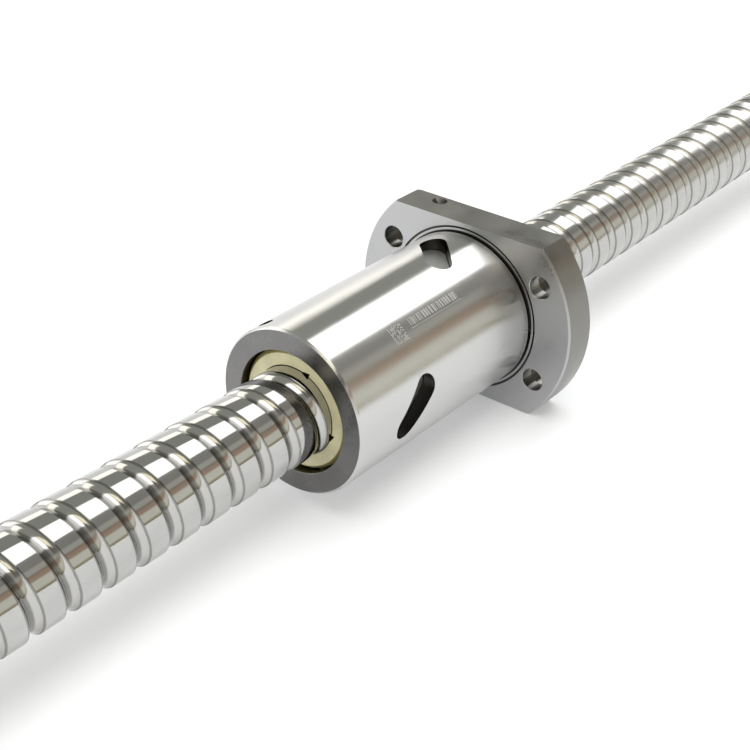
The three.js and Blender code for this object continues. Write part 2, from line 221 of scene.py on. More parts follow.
def helical(profile, segments, x0, x1, lead=LEAD, phase=GROOVE_X0):
    """A helical surface that runs a turn past x0 and x1. Profile: (offset, radius) over a lead."""
    first = math.floor((x0 - phase) / lead) - 2
    turns = math.ceil((x1 - x0) / lead) + 4
    steps, count = turns * segments, len(profile)
    i = np.arange(steps + 1)
    angle = 2 * math.pi * i / segments
    along = phase + lead * (first + i / segments)
    offset = np.array([p[0] for p in profile])
    r = np.array([p[1] for p in profile])
    verts = np.stack(
        [
            (along[:, None] + offset[None, :]).ravel(),
            np.outer(np.cos(angle), r).ravel(),
            np.outer(np.sin(angle), r).ravel(),
        ],
        1,
    )
    faces = []
    for s in range(steps):
        for j in range(count):
            if j < count - 1:
                a, b = s * count + j, s * count + j + 1
                c, d = b + count, a + count
            else:
                if s + 1 + segments > steps:
                    continue
                a, b = s * count + j, (s + segments) * count
                c, d = b + count, a + count
            faces.append((a, d, c, b))
    return verts, faces


def to_bmesh(shape):
    verts, faces = shape
    bm = bmesh.new()
    made = [bm.verts.new(v) for v in verts]
    for f in faces:
        bm.faces.new([made[k] for k in f])
    return bm


def cut(bm, x, keep_above=None):
    """Splits a mesh at a plane across X; keep_above drops one side and closes the other."""
    got = bmesh.ops.bisect_plane(
        bm,
        geom=bm.verts[:] + bm.edges[:] + bm.faces[:],
        dist=1e-6,
        plane_co=(x, 0, 0),
        plane_no=(1, 0, 0),
        clear_outer=keep_above is False,
        clear_inner=keep_above is True,
    )
    if keep_above is not None:
        edges = [e for e in got["geom_cut"] if isinstance(e, bmesh.types.BMEdge)]
        bmesh.ops.edgeloop_fill(bm, edges=edges)


def helical_solid(profile, segments, x0, x1, chamfer=0.0, lead=LEAD, phase=GROOVE_X0):
    """A threaded rod between two planes, its ends chamfered at 45 degrees."""
    bm = to_bmesh(helical(profile, segments, x0, x1, lead, phase))
    if chamfer:
        cut(bm, x0 + chamfer)
        cut(bm, x1 - chamfer)
    cut(bm, x0, keep_above=True)
    cut(bm, x1, keep_above=False)
    if chamfer:
        most = max(p[1] for p in profile)
        for v in bm.verts:
            r = math.hypot(v.co.y, v.co.z)
            inside = min(v.co.x - x0, x1 - v.co.x)
            limit = most - chamfer + inside
            if inside < chamfer and r > limit:
                v.co.y, v.co.z = v.co.y * limit / r, v.co.z * limit / r
    return bm


def outward(bm):
    bmesh.ops.recalc_face_normals(bm, faces=bm.faces[:])
    if bm.calc_volume(signed=True) < 0:
        bmesh.ops.reverse_faces(bm, faces=bm.faces[:])
    return bm


def joined(meshes):
    """Several meshes as one."""
    bm = bmesh.new()
    for other in meshes:
        spare = bpy.data.meshes.new("spare")
        other.to_mesh(spare)
        other.free()
        bm.from_mesh(spare)
        bpy.data.meshes.remove(spare)
    return bm


def moved(bm, matrix):
    bm.transform(matrix)
    return bm


def prism(outline, low, high, top_chamfer=0.0):
    """A straight solid on a closed outline of (x, y) points between two heights."""
    bm = bmesh.new()
    rings = []
    centre = Vector((sum(p[0] for p in outline), sum(p[1] for p in outline))) / len(outline)
    levels = [(low, 0.0), (high, 0.0)]
    if top_chamfer:
        levels = [(low, 0.0), (high - top_chamfer, 0.0), (high, top_chamfer)]
    for z, inset in levels:
        ring = []
        for p in outline:
            away = Vector(p) - centre
            q = Vector(p) - away.normalized() * inset
            ring.append(bm.verts.new((q.x, q.y, z)))
        rings.append(ring)
    n = len(outline)
    for a, b in zip(rings, rings[1:]):
        for i in range(n):
            j = (i + 1) % n
            bm.faces.new((a[i], a[j], b[j], b[i]))
    bm.faces.new(rings[0][::-1])
    bm.faces.new(rings[-1])
    return bm


def obround_outline(length, width):
    """A slot's outline with round ends, its long side along Y before it is tilted."""
    r, half = width / 2, (length - width) / 2
    points, steps = [], 20
    for sign in (1, -1):
        for k in range(steps + 1):
            a = math.pi * k / steps
            points.append((sign * r * math.cos(a), sign * (half + r * math.sin(a))))
    return points


def circle_outline(r, steps=40):
    return [
        (r * math.cos(2 * math.pi * k / steps), r * math.sin(2 * math.pi * k / steps))
        for k in range(steps)
    ]


def tube(points, r):
    """A closed tube along a list of points."""
    sides = 16
    bm = bmesh.new()
    rings = []
    for i, p in enumerate(points):
        ahead = points[min(i + 1, len(points) - 1)] - points[max(i - 1, 0)]
        ahead.normalize()
        out = Vector((0, p.y, p.z)).normalized()
        side = ahead.cross(out).normalized()
        up = side.cross(ahead).normalized()
        rings.append(
            [
                bm.verts.new(p + up * (r * math.cos(a)) + side * (r * math.sin(a)))
                for a in (2 * math.pi * k / sides for k in range(sides))
            ]
        )
    for a, b in zip(rings, rings[1:]):
        for k in range(sides):
            j = (k + 1) % sides
            bm.faces.new((a[k], a[j], b[j], b[k]))
    bm.faces.new(rings[0][::-1])
    bm.faces.new(rings[-1])
    return bm


def object_from(name, bm):
    outward(bm)
    mesh = bpy.data.meshes.new(name)
    bm.to_mesh(mesh)
    bm.free()
    obj = bpy.data.objects.new(name, mesh)
    bpy.context.scene.collection.objects.link(obj)
    return obj


def combine(obj, other_bm, operation):
    """Joins or cuts an object with another mesh and keeps the result in its own mesh."""
    other = object_from("other", other_bm)
    modifier = obj.modifiers.new("combine", "BOOLEAN")
    modifier.operation = operation
    modifier.solver = "EXACT"
    modifier.object = other
    depsgraph = bpy.context.evaluated_depsgraph_get()
    made = bpy.data.meshes.new_from_object(obj.evaluated_get(depsgraph))
    obj.modifiers.clear()
    old, obj.data = obj.data, made
    bpy.data.meshes.remove(old)
    spare = other.data
    bpy.data.objects.remove(other)
    bpy.data.meshes.remove(spare)


def subtract(obj, cutter_bm):
    combine(obj, cutter_bm, "DIFFERENCE")


def shade(obj, sharp_degrees=30, cylinders=()):
    """Smooth shading split at sharp edges. Where cylinders about X are given by their radii, their
    faces get the cylinder's own normals and faces square to X or Z get flat ones, so that cuts
    leave no ripple in the reflections."""
    mesh = obj.data
    mesh.shade_smooth()
    mesh.set_sharp_from_angle(angle=math.radians(sharp_degrees))
    if not cylinders:
        return obj
    normals = np.zeros(len(mesh.loops) * 3, np.float32)
    mesh.corner_normals.foreach_get("vector", normals)
    normals = normals.reshape(-1, 3)
    co = np.zeros(len(mesh.vertices) * 3, np.float32)
    mesh.vertices.foreach_get("co", co)
    co = co.reshape(-1, 3)
    radius = np.hypot(co[:, 1], co[:, 2])
    for poly in mesh.polygons:
        r = radius[list(poly.vertices)]
        if max(abs(poly.normal.x), abs(poly.normal.z)) > 0.99999:
            normals[list(poly.loop_indices)] = poly.normal
            continue
        for want in cylinders:
            if abs(r - want).max() < 0.02 and abs(poly.normal.x) < 0.05:
                for k in poly.loop_indices:
                    p = co[mesh.loops[k].vertex_index]
                    d = np.array([0, p[1], p[2]]) / max(np.hypot(p[1], p[2]), 1e-9)
                    inward = np.dot(d, poly.normal) < 0
                    normals[k] = -d if inward else d
    mesh.normals_split_custom_set([tuple(n) for n in normals])
    return obj


def make_piece(obj, body, replaces=(), materials=()):
    """Millimetres to metres, materials, and the frame's bookkeeping."""
    obj.data.transform(Matrix.Scale(MM, 4))
    obj.data.materials.clear()
    for material in materials:
        obj.data.materials.append(material)
    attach(obj, body)
    if replaces:
        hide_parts(*replaces)
    return obj


# ---- materials --------------------------------------------------------------------------------
# Reflectance across the groove, by millimetres from its centre toward the drive end: painted
# highlights on both walls, and painted shade in the root and along the crests.
GROOVE_SHADE_AND_HIGHLIGHTS = (
    (-2.4, 0.26), (-1.5, 0.24), (-1.2, 0.42), (-0.75, 0.42), (-0.6, 0.2), (0.35, 0.24),
    (0.8, 0.5), (1.9, 0.5), (2.05, 0.24), (2.4, 0.3),
)


class Nodes:
    """A short way to write shader nodes."""

    def __init__(self, tree):
        self.nodes, self.links = tree.nodes, tree.links

    def put(self, socket, value):
        if isinstance(value, bpy.types.NodeSocket):
            self.links.new(value, socket)
        else:
            socket.default_value = value

    def math(self, operation, a, b=0.0):
        node = self.nodes.new("ShaderNodeMath")
        node.operation = operation
        self.put(node.inputs[0], a)
        self.put(node.inputs[1], b)
        return node.outputs[0]

    def product(self, *factors):
        made = factors[0]
        for factor in factors[1:]:
            made = self.math("MULTIPLY", made, factor)
        return made

    def dot(self, direction, vector):
        node = self.nodes.new("ShaderNodeVectorMath")
        node.operation = "DOT_PRODUCT"
        self.put(node.inputs[0], direction)
        node.inputs[1].default_value = vector
        return node.outputs["Value"]

    def above(self, value, edge, width=0.012):
        """1 where value is above edge and 0 below it, with a soft step between."""
        node = self.nodes.new("ShaderNodeMapRange")
        node.interpolation_type = "SMOOTHSTEP"
        self.put(node.inputs["Value"], value)
        node.inputs["From Min"].default_value = edge - width
        node.inputs["From Max"].default_value = edge + width
        return node.outputs[0]

    def below(self, value, edge, width=0.012):
        return self.math("SUBTRACT", 1.0, self.above(value, edge, width))

    def mix(self, factor, a, b):
        node = self.nodes.new("ShaderNodeMix")
        node.data_type = "RGBA"
        self.put(node.inputs[0], factor)
        self.put(node.inputs[6], a)
        self.put(node.inputs[7], b)
        return node.outputs[2]

    def ramp(self, value, stops):
        node = self.nodes.new("ShaderNodeValToRGB")
        elements = node.color_ramp.elements
        while len(elements) < len(stops):
            elements.new(0.5)
        for element, (place, colour) in zip(elements, stops):
            element.position = place
            element.color = (*colour, 1)
        self.put(node.inputs[0], value)
        return node.outputs[0]


class Graph(Nodes):
    """A material, its Principled shader, and the patterns that its surfaces use."""

    def __init__(self, name):
        self.material = bpy.data.materials.new(name)
        self.material.use_nodes = True
        super().__init__(self.material.node_tree)
        self.shader = self.nodes["Principled BSDF"]

    def xyz(self):
        coordinates = self.nodes.new("ShaderNodeTexCoord")
        split = self.nodes.new("ShaderNodeSeparateXYZ")
        self.links.new(coordinates.outputs["Object"], split.inputs[0])
        return split.outputs

    def vector(self, x, y, z):
        node = self.nodes.new("ShaderNodeCombineXYZ")
        for socket, value in zip(node.inputs, (x, y, z)):
            self.put(socket, value)
        return node.outputs[0]

    def noise(self, vector, scale, detail=3.0, roughness=0.55):
        node = self.nodes.new("ShaderNodeTexNoise")
        self.put(node.inputs["Vector"], vector)
        node.inputs["Scale"].default_value = scale
        node.inputs["Detail"].default_value = detail
        node.inputs["Roughness"].default_value = roughness
        return node.outputs["Fac"]

    def spread(self, value, low, high, to_low, to_high):
        node = self.nodes.new("ShaderNodeMapRange")
        self.put(node.inputs["Value"], value)
        for key, number in zip(
            ("From Min", "From Max", "To Min", "To Max"), (low, high, to_low, to_high)
        ):
            node.inputs[key].default_value = number
        return node.outputs[0]

    def bump(self, height, distance):
        node = self.nodes.new("ShaderNodeBump")
        node.inputs["Strength"].default_value = 1.0
        node.inputs["Distance"].default_value = distance
        self.put(node.inputs["Height"], height)
        self.links.new(node.outputs[0], self.shader.inputs["Normal"])


PATTERN_R = 0.02  # metres: at this radius the patterns are as long round the axis as along it
RING_STRETCH = 0.02  # grinding rings run this much slower round the axis than along it


def around_axis(g):
    """Coordinates in metres along X, round the axis, and outwards."""
    x, y, z = g.xyz()
    angle = g.math("ARCTAN2", z, y)
    r = g.math("SQRT", g.math("ADD", g.math("MULTIPLY", y, y), g.math("MULTIPLY", z, z)))
    return x, g.math("MULTIPLY", angle, PATTERN_R), r


def grinding_rings(g, x, around, r, scale):
    return g.noise(g.vector(x, g.math("MULTIPLY", around, RING_STRETCH), r), scale, 2.0)


def dulled(g, rough, x, dulling):
    """Adds roughness along the screw's half toward the drive end."""
    return g.math("ADD", rough, g.spread(x, -0.01, 0.09, 0.0, dulling))


def ground_steel(name, colour, roughness, grain=0.35, tint=0.04, depth=8e-7, anisotropic=0.0,
                 dulling=0.0):
    """Steel ground round the axis: fine rings, cloudy polish, and a few deeper marks."""
    g = Graph(name)
    x, around, r = around_axis(g)
    rings = grinding_rings(g, x, around, r, 9000)
    cloud = g.noise(g.vector(x, around, r), 90, 4.0)
    marks = g.noise(g.vector(x, g.math("MULTIPLY", around, 0.06), r), 1700, 5.0, 0.7)
    light = tuple(min(1.0, c * (1 + tint)) for c in colour)
    dark = tuple(c * (1 - tint) for c in colour)
    g.put(g.shader.inputs["Base Color"], g.ramp(cloud, [(0.3, dark), (0.7, light)]))
    g.shader.inputs["Metallic"].default_value = 1.0
    spots = g.spread(marks, 0.5, 0.8, 0.0, 0.3 * grain * roughness)
    base = g.spread(cloud, 0.3, 0.7, roughness * (1 - grain), roughness * (1 + grain))
    rough = g.math("ADD", base, spots)
    if dulling:
        rough = dulled(g, rough, x, dulling)
    g.put(g.shader.inputs["Roughness"], rough)
    if anisotropic:
        g.shader.inputs["Anisotropic"].default_value = anisotropic
        g.shader.inputs["Anisotropic Rotation"].default_value = 0.25
        tangent = g.nodes.new("ShaderNodeTangent")
        tangent.direction_type, tangent.axis = "RADIAL", "X"
        g.links.new(tangent.outputs[0], g.shader.inputs["Tangent"])
    g.bump(rings, depth)
    return g.material


def raceway_steel(name, roughness, dulling):
    """Ground thread groove: darker along its edges and its root as painted shade, with painted
    highlights on its walls.
    """
    g = Graph(name)
    x, around, r = around_axis(g)
    turns = g.math("DIVIDE", around, PATTERN_R * 2 * math.pi)
    leads = g.math("DIVIDE", g.math("SUBTRACT", x, GROOVE_X0 * MM), LEAD * MM)
    # Half a lead puts the groove in the middle, and whole leads keep the sum above zero.
    offset = g.math("FRACT", g.math("ADD", g.math("SUBTRACT", leads, turns), 100 + 0.5))
    # These stops paint highlights and shade across the groove.
    stops = [(0.5 + u / LEAD, (c, c * 0.985, c * 0.955)) for u, c in GROOVE_SHADE_AND_HIGHLIGHTS]
    cloud = g.noise(g.vector(x, around, r), 240, 4.0)
    wobble = g.math("ADD", offset, g.spread(cloud, 0.3, 0.7, -0.004, 0.004))
    g.put(g.shader.inputs["Base Color"], g.ramp(wobble, stops))
    g.shader.inputs["Metallic"].default_value = 1.0
    rough = g.spread(cloud, 0.3, 0.7, roughness * 0.8, roughness * 1.2)
    g.put(g.shader.inputs["Roughness"], dulled(g, rough, x, dulling))
    g.bump(grinding_rings(g, x, around, r, 7000), 3e-7)
    return g.material


def matte_steel(name, light, dark, roughness):
    """Hardened or turned steel that is left unground: dull, mottled and slightly grainy."""
    g = Graph(name)
    x, y, z = g.xyz()
    here = g.vector(x, y, z)
    cloud = g.noise(here, 60, 5.0, 0.65)
    grain = g.noise(here, 2500, 3.0, 0.7)
    mixed = g.math("ADD", g.math("MULTIPLY", cloud, 0.7), g.math("MULTIPLY", grain, 0.3))
    g.put(g.shader.inputs["Base Color"], g.ramp(mixed, [(0.35, dark), (0.65, light)]))
    g.shader.inputs["Metallic"].default_value = 0.9
    g.put(
        g.shader.inputs["Roughness"],
        g.spread(grain, 0.3, 0.7, roughness * 0.85, roughness * 1.15),
    )
    g.bump(grain, 6e-6)
    return g.material


def wiper_plastic(name, colour):
    """Ivory nylon: slightly translucent, cloudy, with a moulded skin."""
    g = Graph(name)
    x, y, z = g.xyz()
    here = g.vector(x, y, z)
    cloud = g.noise(here, 180, 4.0)
    skin = g.noise(here, 2600, 3.0)
    g.put(
        g.shader.inputs["Base Color"],
        g.ramp(cloud, [(0.3, tuple(0.8 * c for c in colour)), (0.7, colour)]),
    )
    g.shader.inputs["Subsurface Weight"].default_value = 0.25
    g.shader.inputs["Subsurface Radius"].default_value = (1.0, 0.8, 0.45)
    g.shader.inputs["Subsurface Scale"].default_value = 0.001
    g.put(g.shader.inputs["Roughness"], g.spread(skin, 0.3, 0.7, 0.36, 0.5))
    g.bump(skin, 8e-6)
    return g.material


def black_oxide(name):
    """Blackened spring or screw steel, cloudy and slightly oily."""
    g = Graph(name)
    x, y, z = g.xyz()
    here = g.vector(x, y, z)
    cloud = g.noise(here, 500, 4.0)
    g.put(
        g.shader.inputs["Base Color"],
        g.ramp(cloud, [(0.3, (0.012, 0.012, 0.013)), (0.75, (0.05, 0.045, 0.042))]),
    )
    g.shader.inputs["Metallic"].default_value = 0.6
    g.put(g.shader.inputs["Roughness"], g.spread(cloud, 0.3, 0.7, 0.32, 0.5))
    g.bump(g.noise(here, 4000, 3.0), 4e-6)
    return g.material


screw_steel = ground_steel(
    "screw_steel", (0.475, 0.471, 0.466), 0.07, grain=0.3, depth=3e-7, dulling=0.16
)
screw_end_steel = ground_steel("screw_end_steel", (0.56, 0.555, 0.545), 0.16, depth=6e-7)
# The groove's steel paints highlights and shade across the groove.
groove_painted_shading = raceway_steel("groove_painted_shading", 0.13, 0.14)
nut_steel = ground_steel(
    "nut_steel", (0.565, 0.562, 0.558), 0.215, grain=0.12, tint=0.02, depth=5e-7, anisotropic=1.0
)
flange_steel = ground_steel("flange_steel", (0.44, 0.44, 0.445), 0.34)
rim_steel = ground_steel("rim_steel", (0.22, 0.216, 0.205), 0.32, tint=0.06)
face_steel = ground_steel("face_steel", (0.19, 0.186, 0.186), 0.26, tint=0.1, depth=1e-6)
# Near-black steel in the relief groove at the flange's root is painted shade.
relief_painted_shade = ground_steel("relief_painted_shade", (0.08, 0.078, 0.075), 0.35)
# Near-black steel in the bores, slots and holes is painted shade.
bore_painted_shade = ground_steel("bore_painted_shade", (0.08, 0.078, 0.075), 0.22, depth=6e-7)
ball_steel = ground_steel("ball_steel", (0.6, 0.6, 0.6), 0.04, depth=1e-7)
deflector_steel = matte_steel("deflector_steel", (0.55, 0.55, 0.55), (0.36, 0.36, 0.36), 0.38)
etched_steel = matte_steel("etched_steel", (0.55, 0.55, 0.54), (0.42, 0.42, 0.41), 0.6)
ivory = wiper_plastic("wiper_plastic", (0.78, 0.73, 0.48))
# The olive copy of the wiper's plastic is painted shade on its outer bevel, beside the nut.
olive_edge_shade = wiper_plastic("wiper_edge_painted_shade", (0.44, 0.38, 0.16))
# The near-black copy of the wiper's plastic is painted shade in its reliefs and bore.
recess_shade = wiper_plastic("wiper_recess_painted_shade", (0.05, 0.042, 0.022))
black_steel = black_oxide("black_steel")


# ---- screw ------------------------------------------------------------------------------------
def groove_side(land_r, arc_r, crest):
    """One side of a gothic-arch groove with a rounded crest: (offset, radius), root to land."""
    arc_steps, crest_steps = 8, 5
    side = (arc_r - BALL_R) * math.sin(math.radians(45))
    centre_r = BALL_PATH_R + side
    # A crest arc touches the land from below and the groove's arc from outside.
    crest_r = land_r - crest
    reach = math.sqrt((arc_r + crest) ** 2 - (centre_r - crest_r) ** 2)
    crest_x = reach - side
    meet = math.atan2(centre_r - crest_r, reach)
    start = math.asin(side / arc_r)
    points = []
    for k in range(arc_steps + 1):
        a = start + (math.pi / 2 - meet - start) * k / arc_steps
        points.append((arc_r * math.sin(a) - side, centre_r - arc_r * math.cos(a)))
    for k in range(1, crest_steps + 1):
        a = meet + (math.pi / 2 - meet) * k / crest_steps
        points.append((crest_x - crest * math.cos(a), crest_r + crest * math.sin(a)))
    return points


def groove_profile(land_r, arc_r):
    """The whole groove over one lead; its edge toward the supported end is broken more."""
    near = groove_side(land_r, arc_r, NEAR_CREST_R)
    far = groove_side(land_r, arc_r, CREST_R)
    squeeze = NEAR_EDGE / near[-1][0]
    return [(-x * squeeze, r) for x, r in reversed(near[1:])] + far


def centre_drill(x, outward):
    """A 60 degree centre hole in a shaft's end face, which faces outward: -1 or 1 along X."""
    profile = [(x + outward, 3.4), (x - 4.0 * outward, 1.0), (x - 7.0 * outward, 0.9)]
    return to_bmesh(solid_of_revolution(profile, 48))


def build_screw():
    """The ground thread: its lands are polished, and the groove has its own steel with painted shade
    and highlights.
    """
    profile = groove_profile(SCREW_R, GROOVE_ARC_R)
    thread = helical_solid(profile, 72, THREAD_X0, THREAD_X1, THREAD_CHAMFER)
    obj = shade(object_from("screw_thread", thread), 35)
    make_piece(obj, "screw", ("screw_shaft",), (screw_steel, groove_painted_shading))
    for poly in obj.data.polygons:
        r = [math.hypot(*obj.data.vertices[v].co.yz) / MM for v in poly.vertices]
        if min(r) < SCREW_R - 0.001:
            poly.material_index = 1


def build_screw_ends():
    """Both turned ends: bearing seats, ring groove, lock nut thread and drive journal."""
    ring1 = THREAD_X0 - RING_GROOVE_OFFSET
    ring0 = ring1 - RING_GROOVE_WIDTH
    near = [
        (SCREW_X0, 9.2), (SCREW_X0 + 0.8, SEAT_R), (ring0, SEAT_R), (ring0, 9.5),
        (ring1, 9.5), (ring1, SEAT_R), (THREAD_X0 - 1.6, SEAT_R), (THREAD_X0 - 1.4, 9.8),
        (THREAD_X0 + 0.5, 9.8),
    ]
    near_end = object_from("supported_end", to_bmesh(solid_of_revolution(near)))
    subtract(near_end, centre_drill(SCREW_X0, -1))
    make_piece(shade(near_end), "screw", (), (screw_end_steel,))

    lock0 = THREAD_X1 + DRIVE_SEAT_LENGTH
    lock1 = lock0 + LOCK_THREAD_LENGTH
    far = [
        (THREAD_X1 - 0.5, 9.8), (THREAD_X1 + 1.4, 9.8), (THREAD_X1 + 1.6, SEAT_R),
        (lock0 - 1.2, SEAT_R), (lock0 - 1.0, 9.2), (lock0 + 0.3, 9.2), (lock0 + 0.3, 8.9),
        (lock1 + 0.2, 8.9), (lock1 + 0.2, DRIVE_R), (SCREW_X1 - 0.8, DRIVE_R),
        (SCREW_X1, DRIVE_R - 0.8),
    ]
    far_end = object_from("drive_end", to_bmesh(solid_of_revolution(far)))
    subtract(far_end, centre_drill(SCREW_X1, 1))
    make_piece(shade(far_end), "screw", (), (screw_end_steel,))

    fine = [(-0.06, 9.93), (0.06, 9.93), (0.44, 9.3), (0.56, 9.3)]
    lock = helical_solid(fine, 64, lock0 + 0.2, lock1, 0.7, lead=1.0, phase=0.0)
    lock = shade(object_from("lock_nut_thread", lock), 25)
    make_piece(lock, "screw", (), (screw_end_steel,))


def build_retaining_ring():
    """A spring ring for a 20 mm shaft: deeper opposite its gap, with two eyes."""
    low, high = box_mm("retaining_ring")
    thickness = high.x - low.x
    inner, outer, lug_r, gap = 9.62, 12.1, 2.0, math.radians(14)
    points = []
    steps = 72
    for k in range(steps + 1):
        a = -math.pi / 2 + gap + (2 * math.pi - 2 * gap) * k / steps
        r = outer + 0.25 * math.sin(a)
        points.append((r * math.cos(a), r * math.sin(a)))
    for k in range(steps, -1, -1):
        a = -math.pi / 2 + gap + (2 * math.pi - 2 * gap) * k / steps
        points.append((inner * math.cos(a), inner * math.sin(a)))
    ring = object_from("retaining_ring_steel", prism(points, 0, thickness))
    for side in (-1, 1):
        a = -math.pi / 2 + side * math.radians(20)
        eye = Matrix.Translation((12.2 * math.cos(a), 12.2 * math.sin(a), 0))
        combine(ring, moved(prism(circle_outline(lug_r, 32), 0, thickness), eye), "UNION")
        subtract(ring, moved(prism(circle_outline(1.0, 24), -1, thickness + 1), eye))
    turn = Matrix(((0, 0, 1, low.x), (1, 0, 0, 0), (0, 1, 0, 0), (0, 0, 0, 1)))
    ring.data.transform(turn)
    make_piece(shade(ring), "ring", ("retaining_ring",), (black_steel,))


# ---- ball circuits ----------------------------------------------------------------------------
def deflector_places():
    """(x of the crossing's middle, angle) for each deflector, from its node's box."""
    places = []
    for k in range(1, 5):
        low, high = box_mm(f"deflector_{k}")
        middle = (low + high) / 2
        angle = round(math.degrees(math.atan2(middle.z, middle.y)) / 90) * 90
        places.append((middle.x - SLOT_SHIFT, angle))
    return places


def ball_centre(place, phi):
    """A ball's centre in one circuit, phi degrees round it from the middle of its crossing."""
    x, angle = place
    turn = (phi + 180) % 360 - 180
    along = LEAD * turn / 360 + (-LEAD / 2 if turn > 0 else LEAD / 2)
    r = BALL_PATH_R
    if abs(turn) < CROSSING:
        t = (turn + CROSSING) / (2 * CROSSING)
        along = LEAD * turn / 360 + LEAD / 2 * (1 - 2 * t * t * (3 - 2 * t))
        r += CROSSING_LIFT * (1 - (turn / CROSSING) ** 4)
    return at_angle(angle + turn, r, x + along)


def channel(place, r):
    """The way over the land that the returning balls take, as a tube of radius r."""
    reach, steps = CROSSING + 6, 28
    return tube([ball_centre(place, -reach + 2 * reach * n / steps) for n in range(steps + 1)], r)


def build_balls(place, number):
    """One circuit's touching balls: the few that cross back, and the rest under load."""
    count = 1440
    path = [ball_centre(place, -180 + 360 * i / count) for i in range(count + 1)]
    run = np.concatenate([[0], np.cumsum([(b - a).length for a, b in zip(path, path[1:])])])
    pitch = run[-1] / BALLS_PER_CIRCUIT
    for kind, n, middle in (
        ("returning", RETURNING_BALLS, run[-1] / 2),
        ("loaded", BALLS_PER_CIRCUIT - RETURNING_BALLS, run[-1]),
    ):
        bm = bmesh.new()
        for k in range(n):
            s = (middle + (k - (n - 1) / 2) * pitch) % run[-1]
            centre = path[min(int(np.searchsorted(run, s)), count)]
            bmesh.ops.create_icosphere(
                bm, subdivisions=3, radius=BALL_R, matrix=Matrix.Translation(centre)
            )
        obj = shade(object_from(f"{kind}_balls_{number}", bm), 60)
        make_piece(obj, "nut", (f"balls_{kind}_{number}",), (ball_steel,))


def slot_frame(place):
    """A slot's own axes: Z outwards through its middle, Y along it after the tilt."""
    x, angle = place
    return polar_frame(angle, x + SLOT_SHIFT) @ Matrix.Rotation(-SLOT_TILT, 4, "Z")


def build_deflector(place, number):
    """The insert in one slot, open to the bore and with the ball's way through it."""
    outline = obround_outline(SLOT_LENGTH - SLOT_FIT, SLOT_WIDTH - SLOT_FIT)
    block = prism(outline, 11.5, DEFLECTOR_TOP_R, top_chamfer=0.25)
    obj = object_from(f"deflector_block_{number}", moved(block, slot_frame(place)))
    bore_r = BORE_R + 0.05
    bore = [(NUT_X0, 0.5), (NUT_X0, bore_r), (NUT_X1, bore_r), (NUT_X1, 0.5)]
    subtract(obj, to_bmesh(revolved(bore, 96)))
    subtract(obj, channel(place, CHANNEL_R))
    make_piece(shade(obj), "nut", (f"deflector_{number}",), (deflector_steel,))


# ---- nut --------------------------------------------------------------------------------------
def nut_blank():
    """The turned nut before its cuts: body, relief groove, flange, bore and wiper recesses."""
    neck_r, relief_r, edge = BODY_R - 0.6, BODY_R + 1.6, 0.5
    corners = [  # x, radius, and the fillet there
        (NUT_X0, RECESS_R, 0.15), (NUT_X0, BODY_R - 0.6, 0.12), (NUT_X0 + 0.6, BODY_R, 0.3),
        (FLANGE_X - 0.75, BODY_R, 0.1), (FLANGE_X - 0.55, neck_r, 0.2),
        (FLANGE_X + 0.9, neck_r, 0.2), (FLANGE_X + 0.9, BODY_R + 0.3, 0.08),
        (FLANGE_X + 0.1, BODY_R + 0.35, 0.08), (FLANGE_X + 0.1, relief_r - 0.55, 0.05),
        (FLANGE_X + 0.7, relief_r - 0.5, 0.05), (FLANGE_X + 0.7, relief_r, 0.08),
        (FLANGE_X, relief_r + 0.05, 0.08), (FLANGE_X, FLANGE_R - edge, 0.1),
        (FLANGE_X + edge, FLANGE_R, 0.1), (NUT_X1 - edge, FLANGE_R, 0.1),
        (NUT_X1, FLANGE_R - edge, 0.1), (NUT_X1, RECESS_R, 0.15),
        (NUT_X1 - RECESS_DEPTH, RECESS_R, 0.2), (NUT_X1 - RECESS_DEPTH, BORE_R, 0.1),
        (NUT_X0 + RECESS_DEPTH, BORE_R, 0.1), (NUT_X0 + RECESS_DEPTH, RECESS_R, 0.2),
    ]
    outline = filleted([c[:2] for c in corners], [c[2] for c in corners], 3)
    return object_from("nut", to_bmesh(revolved(outline, 192)))


def flat_cutter(side):
    low, high = sorted((side * FLAT_Z, side * 40))
    x0, x1 = FLANGE_X - 1, NUT_X1 + 1
    return prism([(x0, -40), (x1, -40), (x1, 40), (x0, 40)], low, high)


def bolt_hole_cutter(degrees):
    """A through hole with small bevels and a counterbore on the back of the flange."""
    bevel = 0.15
    profile = [
        (FLANGE_X - 1, BOLT_HOLE_R + bevel + 1), (FLANGE_X, BOLT_HOLE_R + bevel),
        (FLANGE_X + bevel, BOLT_HOLE_R), (NUT_X1 - COUNTERBORE_DEPTH, BOLT_HOLE_R),
        (NUT_X1 - COUNTERBORE_DEPTH, COUNTERBORE_R), (NUT_X1 - bevel, COUNTERBORE_R),
        (NUT_X1 + 1, COUNTERBORE_R + bevel + 1),
    ]
    place = Matrix.Translation(at_angle(degrees, BOLT_CIRCLE_R))
    return moved(to_bmesh(solid_of_revolution(profile, 64)), place)


def radial_hole(r, low_r, high_r, degrees, x):
    return moved(prism(circle_outline(r), low_r, high_r), polar_frame(degrees, x))


def small_holes():
    """The set screws' holes, and the oil port with its narrow way into the bore."""
    holes = []
    for node in ("set_screw_front_top", "set_screw_rear_top"):
        x = middle_x(node)
        holes += [radial_hole(SET_SCREW_R, 14, 34, degrees, x) for degrees in (60, 240)]
    x = middle_x("oil_port_plug")
    holes.append(radial_hole(OIL_PORT_R, 18, 30, 270, x))
    holes.append(radial_hole(1.2, 12, 17.9, 270, x - 2.5))
    return holes


def raceway_cutter():
    """The screw's groove turned outwards about the ball's path, along the nut's bore."""
    inner = groove_profile(SCREW_R, GROOVE_ARC_R)
    raceway = [(x, 2 * BALL_PATH_R - r) for x, r in inner if abs(x) < RACEWAY_HALF_WIDTH]
    edge_r = BORE_R - 0.6
    raceway = [(-RACEWAY_FLARE, edge_r)] + raceway + [(RACEWAY_FLARE, edge_r)]
    return helical_solid(raceway, 72, NUT_X0 + RECESS_DEPTH - 1, NUT_X1 - RECESS_DEPTH + 1)


